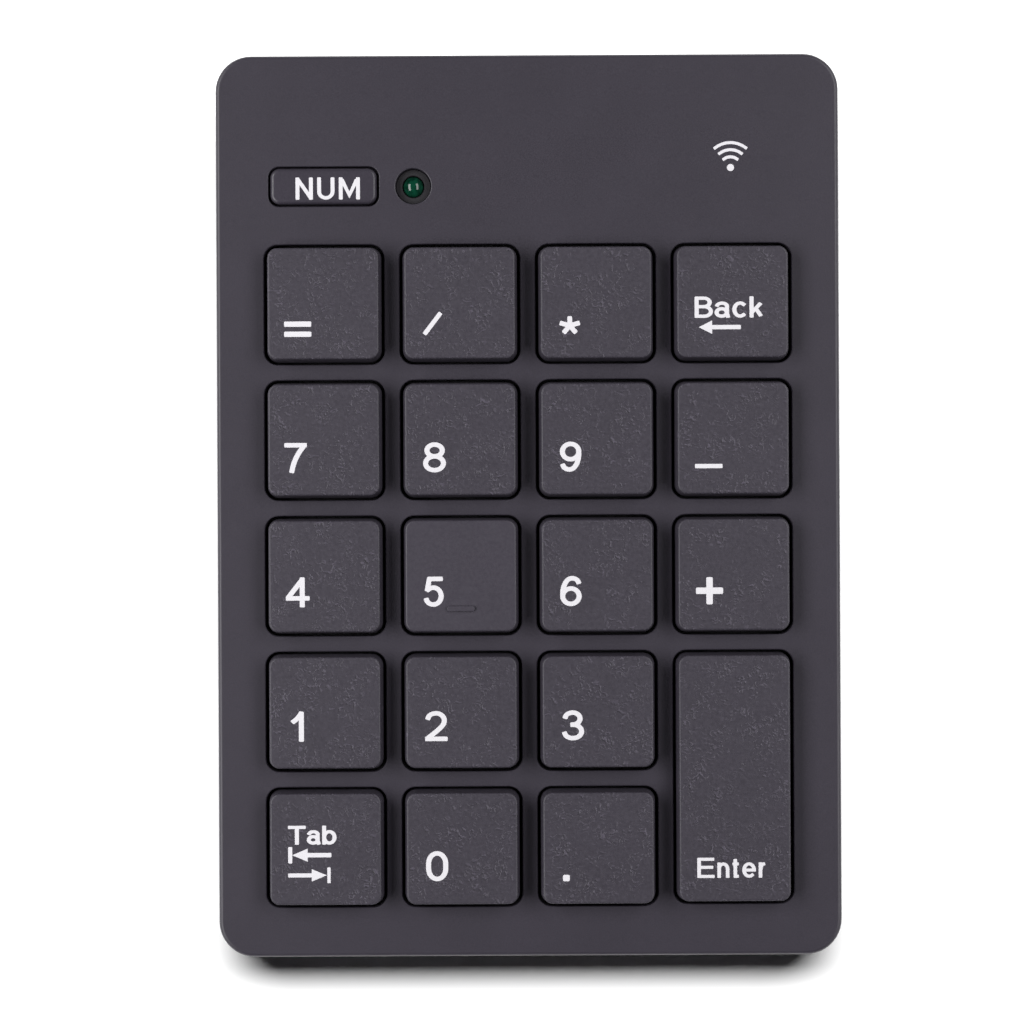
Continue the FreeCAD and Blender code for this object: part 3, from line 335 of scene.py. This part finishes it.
def loop(x, y, rx, ry):
    """Closed ellipse, which ends where it starts."""
    return arc(x, y, rx, ry, 0, 360)


SIX = [
    loop(0.5, 0.30, 0.5, 0.30),
    arc(0.56, 0.38, 0.56, 0.62, 186, 90) + arc(0.56, 0.82, 0.40, 0.18, 81, 12),
]

# Centre lines of each character's strokes, in a box that runs from 0 to 1 both ways.
STROKES = {
    "0": [arc(0.5, 0.60, 0.5, 0.40, 0, 180) + arc(0.5, 0.40, 0.5, 0.40, 180, 360) + line((1.0, 0.60))],
    "1": [line((1, 1), (1, 0)), curve((0.93, 1.0), (0.60, 0.82), (0.09, 0.71))],
    "2": [arc(0.50, 0.80, 0.46, 0.20, 172, 99) + arc(0.50, 0.71, 0.46, 0.29, 90, -22)
          + curve((0.89, 0.55), (0.70, 0.38), (0.11, 0.08)),
          line((0.0, 0.0), (1.0, 0.0))],
    "3": [arc(0.48, 0.81, 0.44, 0.19, 170, 99) + arc(0.48, 0.765, 0.43, 0.235, 90, -90),
          arc(0.49, 0.265, 0.51, 0.265, 90, -90) + arc(0.49, 0.21, 0.49, 0.21, -99, -170)],
    "4": [line((0.74, 0.0), (0.74, 1.0)), line((0.70, 0.96), (0.04, 0.335)),
          line((0.0, 0.265), (1.0, 0.265))],
    "5": [line((0.95, 1.0), (0.25, 1.0)), line((0.21, 0.98), (0.09, 0.60)),
          arc(0.48, 0.33, 0.52, 0.33, 130, -90) + arc(0.48, 0.22, 0.46, 0.22, -99, -168)],
    "6": SIX,
    "7": [line((0.0, 1.0), (1.0, 1.0)), curve((0.91, 0.91), (0.42, 0.50), (0.29, 0.0))],
    "8": [loop(0.51, 0.77, 0.43, 0.23), loop(0.5, 0.27, 0.5, 0.27)],
    "9": [[Vector((1, 1)) - p for p in stroke] for stroke in SIX],
    "-": [line((0, 0.5), (1, 0.5))],
    "+": [line((0, 0.5), (1, 0.5)), line((0.5, 0), (0.5, 1))],
    "=": [line((0, 0), (1, 0)), line((0, 1), (1, 1))],
    "/": [line((0, 0), (1, 1))],
    "*": [line((0.5, 0.47), (0.5 + 0.5 * math.sin(a), 0.47 + 0.53 * math.cos(a)))
          for a in (math.radians(72 * n) for n in range(5))],
    "B": [line((0, 0), (0, 1)),
          line((0.1, 1), (0.50, 1)) + arc(0.50, 0.765, 0.42, 0.235, 72, -90) + line((0.1, 0.53)),
          line((0.1, 0.53), (0.54, 0.53)) + arc(0.54, 0.265, 0.46, 0.265, 72, -90) + line((0.1, 0))],
    "E": [line((0, 0), (0, 1)), line((0.1, 1), (0.97, 1)), line((0.1, 0.53), (0.90, 0.53)),
          line((0.1, 0), (1, 0))],
    "M": [line((0, 0), (0, 1)), line((0.10, 0.90), (0.5, 0.15), (0.90, 0.90)), line((1, 1), (1, 0))],
    "N": [line((0, 0), (0, 1)), line((0.08, 0.93), (0.92, 0.07)), line((1, 0), (1, 1))],
    "T": [line((0, 1), (1, 1)), line((0.5, 1), (0.5, 0))],
    "U": [line((0, 1)) + arc(0.5, 0.34, 0.5, 0.34, 180, 360) + line((1, 1))],
    "a": [arc(0.45, 0.55, 0.41, 0.17, 160, 0) + line((0.86, 0.16), (0.93, 0.0)),
          loop(0.42, 0.205, 0.42, 0.205)],
    "b": [line((0, 0), (0, 1)), loop(0.5, 0.36, 0.5, 0.36)],
    "c": [arc(0.5, 0.36, 0.5, 0.36, 54, 306)],
    "e": [line((0.1, 0.36), (0.95, 0.36)), arc(0.5, 0.36, 0.5, 0.36, 0, 306)],
    "k": [line((0, 0), (0, 1)), line((0.82, 0.65), (0.10, 0.24)), line((0.42, 0.42), (0.86, 0.07))],
    "n": [line((0, 0), (0, 0.72)), arc(0.5, 0.42, 0.5, 0.30, 150, 0) + line((1, 0))],
    "r": [line((0, 0), (0, 0.72)), curve((0.06, 0.42), (0.22, 0.72), (0.62, 0.71))],
    "t": [line((0.36, 0.92), (0.36, 0.05)), line((0.40, 0.0), (0.80, 0.0)), line((0.1, 0.72), (0.80, 0.72))],
}
# Width of each letter in cap heights.
LETTER_WIDTH = {
    "B": 0.86, "E": 0.86, "M": 0.95, "N": 0.78, "T": 0.94, "U": 0.78,
    "a": 0.76, "b": 0.76, "c": 0.73, "e": 0.68, "k": 0.66, "n": 0.60, "r": 0.42, "t": 0.37,
}


def sides(path, width, closed=False):
    """Points at half a width to the left and the right of each point of a path."""
    half = width / 2
    ends = path + path[:1] if closed else path
    runs = [(b - a).normalized() for a, b in zip(ends, ends[1:])]
    left, right = [], []
    for n, point in enumerate(path):
        before = runs[n - 1] if n or closed else runs[0]
        after = runs[min(n, len(runs) - 1)]
        along = (before + after).normalized()
        side = Vector((-along.y, along.x)) * half / max(along.dot(after), LEAST_MITRE)
        left.append(point + side)
        right.append(point - side)
    return left, right


def ribbon(path, width):
    """Outline of an open stroke; its ends are square, half a width long, with soft corners."""
    half, corner = width / 2, width * END_CORNER
    left, right = sides(path, width)

    def cap(point, along):
        """Corner arcs across an end, from its left side to its right, looking along."""
        side = Vector((-along.y, along.x))
        turn = [math.radians(90 * n / END_CORNER_STEPS) for n in range(END_CORNER_STEPS + 1)]
        out = [half - corner + corner * math.sin(a) for a in turn]
        across = [half - corner + corner * math.cos(a) for a in turn]
        first = [point + along * o + side * s for o, s in zip(out, across)]
        last = [point + along * o - side * s for o, s in zip(out, across)]
        return first + last[::-1]

    tip, root = (path[-1] - path[-2]).normalized(), (path[0] - path[1]).normalized()
    return left + cap(path[-1], tip) + right[::-1] + cap(path[0], root)


def ring(path, width):
    """Two outlines that together follow a closed stroke."""
    left, right = sides(path[:-1], width, closed=True)
    half = len(left) // 2
    left, right = left + left[:1], right + right[:1]
    return [left[:half + 1] + right[half::-1], left[half:] + right[:half - 1:-1]]


def strokes_of(paths, width):
    """Outlines of strokes; a path that ends where it starts is a ring."""
    outlines = []
    for path in paths:
        closed = (path[0] - path[-1]).length < width / 100
        outlines += ring(path, width) if closed else [ribbon(path, width)]
    return outlines


def glyph(mark, left, base, width, height, weight, thin):
    """Outlines of a character whose outer box is given, in millimetres.

    Its upright strokes are as thick as weight says, and its level ones as thin says.
    """
    stretch = weight / thin
    corner = Vector((left + weight / 2, base + thin / 2))
    paths = []
    for stroke in STROKES[mark]:
        places = [corner + Vector((p.x * (width - weight), p.y * (height - thin))) for p in stroke]
        paths.append([Vector((p.x, p.y * stretch)) for p in places])
    return [[Vector((p.x, p.y / stretch)) for p in outline] for outline in strokes_of(paths, weight)]


def word(text, left, base, height, gap, weight, thin):
    """A word set from its left end, in millimetres."""
    outlines = []
    for letter in text:
        width = LETTER_WIDTH[letter] * height
        outlines += glyph(letter, left, base, width, height, weight, thin)
        left += width + gap
    return outlines


def arrow(tail, tip, y, shaft, head_long, head_wide):
    """Arrow along X from its tail to its tip, in millimetres."""
    way = 1 if tip > tail else -1
    neck = tip - way * head_long
    head = line((tip, y), (neck, y + head_wide / 2), (neck, y - head_wide / 2))
    return [head, ribbon(line((tail + way * shaft / 2, y), (neck, y)), shaft)]


def bar(x, y, width, height):
    """Upright bar about a middle, in millimetres."""
    reach = (height - width) / 2
    return ribbon(line((x, y - reach), (x, y + reach)), width)


PRINT_SUNK = 0.01 * MM             # how far a printed layer reaches into the face it is on
PRINT_PROUD = 0.02 * MM            # and how far it stands above it
WELD_MM = 1e-3                     # points of an outline that are nearer than this become one


def fix_to(body, mesh, name, material, centre, level):
    """Makes a piece that rides on a body, from a mesh drawn in the deck's plane about a centre."""
    mesh.materials.append(material)
    piece = bpy.data.objects.new(name, mesh)
    bpy.context.scene.collection.objects.link(piece)
    across = Matrix((RIGHT, REAR, UP)).transposed().to_4x4()
    piece.matrix_world = Matrix.Translation(centre[0] * RIGHT + centre[1] * REAR + level * UP) @ across
    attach(piece, body)


def print_on(name, outlines, centre, level, body):
    """Thin printed layer in the deck's plane; outlines are in millimetres from the centre."""
    points, faces = [], []
    for outline in outlines:
        turns_left = sum(a.cross(b) for a, b in zip(outline, outline[1:] + outline[:1])) > 0
        faces.append(list(range(len(points), len(points) + len(outline))))
        points += outline if turns_left else outline[::-1]
    found, _, triangles, _, _, owners = delaunay_2d_cdt(points, [], faces, 0, WELD_MM)
    mesh = bpy.data.meshes.new(name)
    bm = bmesh.new()
    corners = [bm.verts.new((p.x * MM, p.y * MM, -PRINT_SUNK)) for p in found]
    for triangle, owner in zip(triangles, owners):
        if owner:
            bm.faces.new([corners[n] for n in triangle])
    bmesh.ops.delete(bm, geom=[v for v in bm.verts if not v.link_faces], context="VERTS")
    bmesh.ops.recalc_face_normals(bm, faces=bm.faces)
    if bm.faces[:] and bm.faces[0].normal.z < 0:
        bmesh.ops.reverse_faces(bm, faces=bm.faces)
    base = bm.faces[:]
    raised = bmesh.ops.extrude_face_region(bm, geom=base, use_keep_orig=True)["geom"]
    for part in raised:
        if isinstance(part, bmesh.types.BMVert):
            part.co.z = PRINT_PROUD
    bmesh.ops.reverse_faces(bm, faces=base)
    bm.to_mesh(mesh)
    bm.free()
    fix_to(body, mesh, name, INK, centre, level)


def centre_of(node):
    """Middle of a CAD node across and along the deck."""
    return middle(deck_span(node, RIGHT)), middle(deck_span(node, REAR))


# Left edge and width of each digit, in millimetres from its key's middle.
DIGITS = {
    "0": (-5.05, 3.1), "1": (-4.8, 1.85), "2": (-5.1, 3.15), "3": (-5.0, 3.05), "4": (-5.4, 3.35),
    "5": (-5.2, 2.8), "6": (-5.2, 3.0), "7": (-5.5, 3.15), "8": (-5.2, 3.2), "9": (-5.15, 3.0),
}
# Base line of each row of digits.
BASE_LINES = {"789": -4.6, "456": -4.3, "123": -4.0, "0": -4.5}
DIGIT_HEIGHT = 4.2
DIGIT_STROKES = (0.71, 0.63)
# Character, left edge, base line, width, height and stroke of each sign.
SIGNS = {
    "equals": ("=", -5.45, -4.65, 3.8, 2.15, 0.74), "divide": ("/", -5.05, -4.45, 2.55, 3.15, 0.62),
    "multiply": ("*", -5.15, -4.45, 2.95, 2.5, 0.66), "minus": ("-", -5.35, -4.2, 3.85, 0.6, 0.6),
    "plus": ("+", -5.3, -4.15, 3.8, 3.8, 0.9), "decimal": ("-", -5.0, -4.6, 0.95, 0.9, 0.9),
}
# Text, left end, base line, height, gap, and thickness of the upright and of the level strokes of each word.
BACK_WORD = ("Back", -5.3, -2.27, 2.98, 0.22, 0.58, 0.46)
TAB_WORD = ("Tab", -5.25, 0.68, 2.65, 0.13, 0.57, 0.45)
ENTER_WORD = ("Enter", -5.3, -13.88, 2.82, 0.37, 0.51, 0.43)
NUM_WORD = ("NUM", -3.9, -1.9, 3.12, 0.6, 0.55, 0.48)
# Tail, tip, height on the key, shaft, and length and width of the head of each arrow.
BACK_ARROW = (1.15, -4.73, -3.57, 0.61, 1.87, 1.88)
TAB_ARROWS = [(0.8, -4.66, -0.78, 0.62, 2.15, 1.83), (-5.25, 0.15, -3.6, 0.57, 2.1, 1.71)]
# Middle, width and height of the bar at the tip of each arrow on the tab key.
TAB_BARS = [(-4.95, -0.78, 0.58, 2.3), (0.45, -3.6, 0.46, 2.2)]


def make_legends():
    legends = {}
    for digits, base in BASE_LINES.items():
        for digit in digits:
            left, width = DIGITS[digit]
            legends["key_" + digit] = glyph(digit, left, base, width, DIGIT_HEIGHT, *DIGIT_STROKES)
    for name, (mark, left, base, width, height, stroke) in SIGNS.items():
        legends["key_" + name] = glyph(mark, left, base, width, height, stroke, stroke)
    legends["key_backspace"] = word(*BACK_WORD) + arrow(*BACK_ARROW)
    legends["key_tab"] = word(*TAB_WORD)
    for pointer, stop in zip(TAB_ARROWS, TAB_BARS):
        legends["key_tab"] += arrow(*pointer) + [bar(*stop)]
    legends["key_enter"] = word(*ENTER_WORD)
    for node, outlines in legends.items():
        print_on("legend_" + node.removeprefix("key_"), outlines, centre_of(node), KEY_TOP, node)
    print_on("legend_num", word(*NUM_WORD), centre_of("num_button"), BUTTON_TOP, "num_button")


# The radio sign: its dot and its arcs are in millimetres from its own middle.
MARK_FOOT = -1.6                   # height of the dot, which the arcs go round
MARK_DOT = 0.5                     # its radius
MARK_ARCS = (1.5, 2.5, 3.5)
MARK_STROKE = 0.42
MARK_REAR = 4.0 * MM               # from the number-lock button's middle to the sign's


def make_radio_mark():
    """Plain printed sign for a radio link: a dot with arcs above it."""
    x, y = middle(deck_span("key_backspace", RIGHT)), middle(deck_span("num_button", REAR))
    outlines = [arc(0, MARK_FOOT, MARK_DOT, MARK_DOT, 0, 360 - ARC_STEP)]
    outlines += [ribbon(arc(0, MARK_FOOT, r, r, 128, 52), MARK_STROKE) for r in MARK_ARCS]
    print_on("radio_mark", outlines, (x, y + MARK_REAR), DECK, "case")


# Section of the ring around the lamp's lens: distance from its middle and height above the deck, in mm.
COLLAR = [(1.54, -1.7), (1.54, -1.15), (1.64, -1.05), (2.36, -1.05), (2.46, -1.15), (2.46, -1.7)]
COLLAR_STEPS = 72


def make_lamp_collar():
    """Dull ring that closes the gap between the lens and the edge of its hole."""
    bm = bmesh.new()
    rings = []
    for step in range(COLLAR_STEPS):
        turn = 2 * math.pi * step / COLLAR_STEPS
        corners = [(r * MM * math.cos(turn), r * MM * math.sin(turn), z * MM) for r, z in COLLAR]
        rings.append([bm.verts.new(corner) for corner in corners])
    for here, there in zip(rings, rings[1:] + rings[:1]):
        for n in range(len(COLLAR)):
            bm.faces.new((here[n - 1], there[n - 1], there[n], here[n]))
    bmesh.ops.recalc_face_normals(bm, faces=bm.faces)
    mesh = bpy.data.meshes.new("lamp_collar")
    bm.to_mesh(mesh)
    bm.free()
    dull = MATERIALS["inner_plastic"]
    fix_to("case", mesh, "lamp_collar", dull, centre_of("lamp_lens"), DECK)


make_legends()
make_radio_mark()
make_lamp_collar()


# ================================================================ rubber domes

DOME_SHEET = "rubber_dome_sheet"
DOME_REACH = 5.0 * MM        # every corner of a dome is this near its key's middle, and no other corner is
SHEET_WELD = 0.001 * MM      # corners of the sheet that are nearer than this become one
# Middle of each key, across and along the deck.
KEY_MIDDLES = {node: centre_of(node) for node in sorted(frame["nodes"]) if node.startswith("key_")}


def key_over(point):
    """Key whose dome a corner of the sheet belongs to, or None."""
    x, y = point.dot(RIGHT), point.dot(REAR)
    for key, (key_x, key_y) in KEY_MIDDLES.items():
        if math.hypot(x - key_x, y - key_y) < DOME_REACH:
            return key
    return None


def rubber_piece(name, sheet, owners, owner):
    """Closed piece of rubber from the faces of the dome sheet that one key owns, or that none does.

    Each cut leaves two open rims at a dome's foot, which a wall joins.
    """
    bm = sheet.copy()
    bm.faces.ensure_lookup_table()
    bmesh.ops.delete(bm, geom=[bm.faces[n] for n, key in enumerate(owners) if key != owner], context="FACES")
    rims = {}
    for edge in bm.edges:
        if edge.is_boundary:
            rims.setdefault(key_over(edge.verts[0].co), []).append(edge)
    for edges in rims.values():
        bmesh.ops.bridge_loops(bm, edges=edges)
    bmesh.ops.recalc_face_normals(bm, faces=bm.faces)
    mesh = bpy.data.meshes.new(name)
    bm.to_mesh(mesh)
    bm.free()
    mesh.materials.append(MATERIALS["dome_rubber"])
    piece = bpy.data.objects.new(name, mesh)
    bpy.context.scene.collection.objects.link(piece)
    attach(piece, "case")
    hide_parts(DOME_SHEET)
    return piece


def make_domes():
    """Cuts the dome sheet into its flat part and one dome per key."""
    sheet = bmesh.new()
    sheet.from_mesh(frame["nodes"][DOME_SHEET].data)
    bmesh.ops.remove_doubles(sheet, verts=sheet.verts, dist=SHEET_WELD)
    near = {vert: key_over(vert.co) for vert in sheet.verts}
    owners = []
    for face in sheet.faces:
        found = {near[vert] for vert in face.verts}
        owners.append(found.pop() if len(found) == 1 else None)
    rubber_piece("dome_sheet", sheet, owners, None)
    for key, (x, y) in KEY_MIDDLES.items():
        dome = rubber_piece("dome_" + key.removeprefix("key_"), sheet, owners, key)
        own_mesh(dome)
    sheet.free()


make_domes()


# ================================================================ room, light and camera

FLOOR_SIZE = 20.0
FLOOR_GREY = 0.92


def soft_white(name, value):
    """Nearly even pale paint for the floor."""
    mat, tree, shader = new_material(name)
    tone = texture(tree, "ShaderNodeTexNoise", 40.0, Detail=2.0)
    tree.links.new(
        ramp(tree, tone.outputs["Fac"], [(0.3, value - 0.01), (0.7, value)]),
        shader.inputs["Base Color"],
    )
    shader.inputs["Roughness"].default_value = 0.9
    return mat


def make_floor():
    bpy.ops.mesh.primitive_plane_add(size=FLOOR_SIZE, location=(0, 0, 0))
    floor = bpy.context.object
    floor.name = "floor"
    floor.data.materials.append(soft_white("floor_paint", FLOOR_GREY))
    return floor


def softbox(name, centre, target, shape, size, power):
    """Flat light at a place, facing a target."""
    light = bpy.data.lights.new(name, "AREA")
    light.shape = shape
    light.size, light.size_y = size
    light.energy = power
    lamp = bpy.data.objects.new(name, light)
    lamp.location = centre
    lamp.rotation_euler = (Vector(target) - Vector(centre)).to_track_quat("-Z", "Y").to_euler()
    bpy.context.scene.collection.objects.link(lamp)
    return lamp


# Each side lamp's lean to the right and to the rear from the deck's own upright, in degrees, and its power.
SIDE_LAMPS = {"left_lamp": (-46, 2, 2.85), "right_lamp": (43, 13, 2.0)}
SIDE_LAMP_SIZE = (0.62, 0.22)
SIDE_DISTANCE = 0.5          # from the deck
# One wide lamp lights the floor alone, from so far off that it lights the whole floor evenly.
FLOOR_LAMP_AT = (0.0, 15.0, 32.0)
FLOOR_LAMP_SIZE = (38.0, 16.0)
FLOOR_LAMP_POWER = 27000.0
ROOM_GLOW = 0.02
HORIZON_GLOW = 1.0
HORIZON_TOP = 0.17           # sine of the height angle where the bright band has faded
HORIZON_FADE = 0.04          # it begins to fade this far below


def make_room():
    """Dim room with a bright band behind the floor's far edge; it shows in reflections but casts no light."""
    world = bpy.data.worlds.new("room")
    world.use_nodes = True
    tree = world.node_tree
    place = tree.nodes.new("ShaderNodeTexCoord")
    parts = tree.nodes.new("ShaderNodeSeparateXYZ")
    tree.links.new(place.outputs["Generated"], parts.inputs["Vector"])
    fade = [(HORIZON_TOP - HORIZON_FADE, HORIZON_GLOW), (HORIZON_TOP, ROOM_GLOW)]
    band = ramp(tree, parts.outputs["Z"], fade)
    tree.links.new(band, tree.nodes["Background"].inputs["Color"])
    bpy.context.scene.world = world
    world.cycles_visibility.diffuse = False
    bpy.context.scene.view_settings.view_transform = "Standard"


def light_only(lamp, piece, state):
    """Makes a lamp light one piece alone, or everything but that piece."""
    group = bpy.data.collections.new(lamp.name + "_pieces")
    group.objects.link(piece)
    group.collection_objects[0].light_linking.link_state = state
    lamp.light_linking.receiver_collection = group


def towards(sideways, rearward):
    """Direction that leans from straight up by two angles in degrees."""
    lean = math.tan(math.radians(sideways)) * RIGHT + math.tan(math.radians(rearward)) * REAR
    return (UP + lean).normalized()


def make_lights(floor):
    deck = DECK * UP
    for name, (sideways, rearward, power) in SIDE_LAMPS.items():
        place = deck + towards(sideways, rearward) * SIDE_DISTANCE
        lamp = softbox(name, place, deck, "RECTANGLE", SIDE_LAMP_SIZE, power)
        light_only(lamp, floor, "EXCLUDE")
    lamp = softbox("floor_lamp", FLOOR_LAMP_AT, (0, 0, 0), "ELLIPSE", FLOOR_LAMP_SIZE, FLOOR_LAMP_POWER)
    light_only(lamp, floor, "INCLUDE")


CAMERA_HEIGHT = 0.4155       # from the deck
FRAME_WIDTH = 0.1438         # width of deck in view
CAMERA_ROLL = 0.28           # degrees
SENSOR = 36.0
# Point of the deck at the middle of the view, across and along from the middle of the deck.
AIM = (-2.34 * MM, -0.93 * MM)


def make_camera():
    data = bpy.data.cameras.new("camera")
    data.sensor_width = SENSOR
    data.lens = SENSOR * CAMERA_HEIGHT / FRAME_WIDTH
    data.clip_start = 0.01
    camera = bpy.data.objects.new("camera", data)
    bpy.context.scene.collection.objects.link(camera)
    deck_middle = (middle(deck_span("top_case", RIGHT)), middle(deck_span("top_case", REAR)))
    aim = (deck_middle[0] + AIM[0]) * RIGHT + (deck_middle[1] + AIM[1]) * REAR + DECK * UP
    facing = Matrix((RIGHT, REAR, UP)).transposed().to_4x4()
    roll = Matrix.Rotation(math.radians(-CAMERA_ROLL), 4, "Z")
    camera.matrix_world = Matrix.Translation(aim + UP * CAMERA_HEIGHT) @ facing @ roll
    bpy.context.scene.camera = camera


make_room()
make_lights(make_floor())
make_camera()
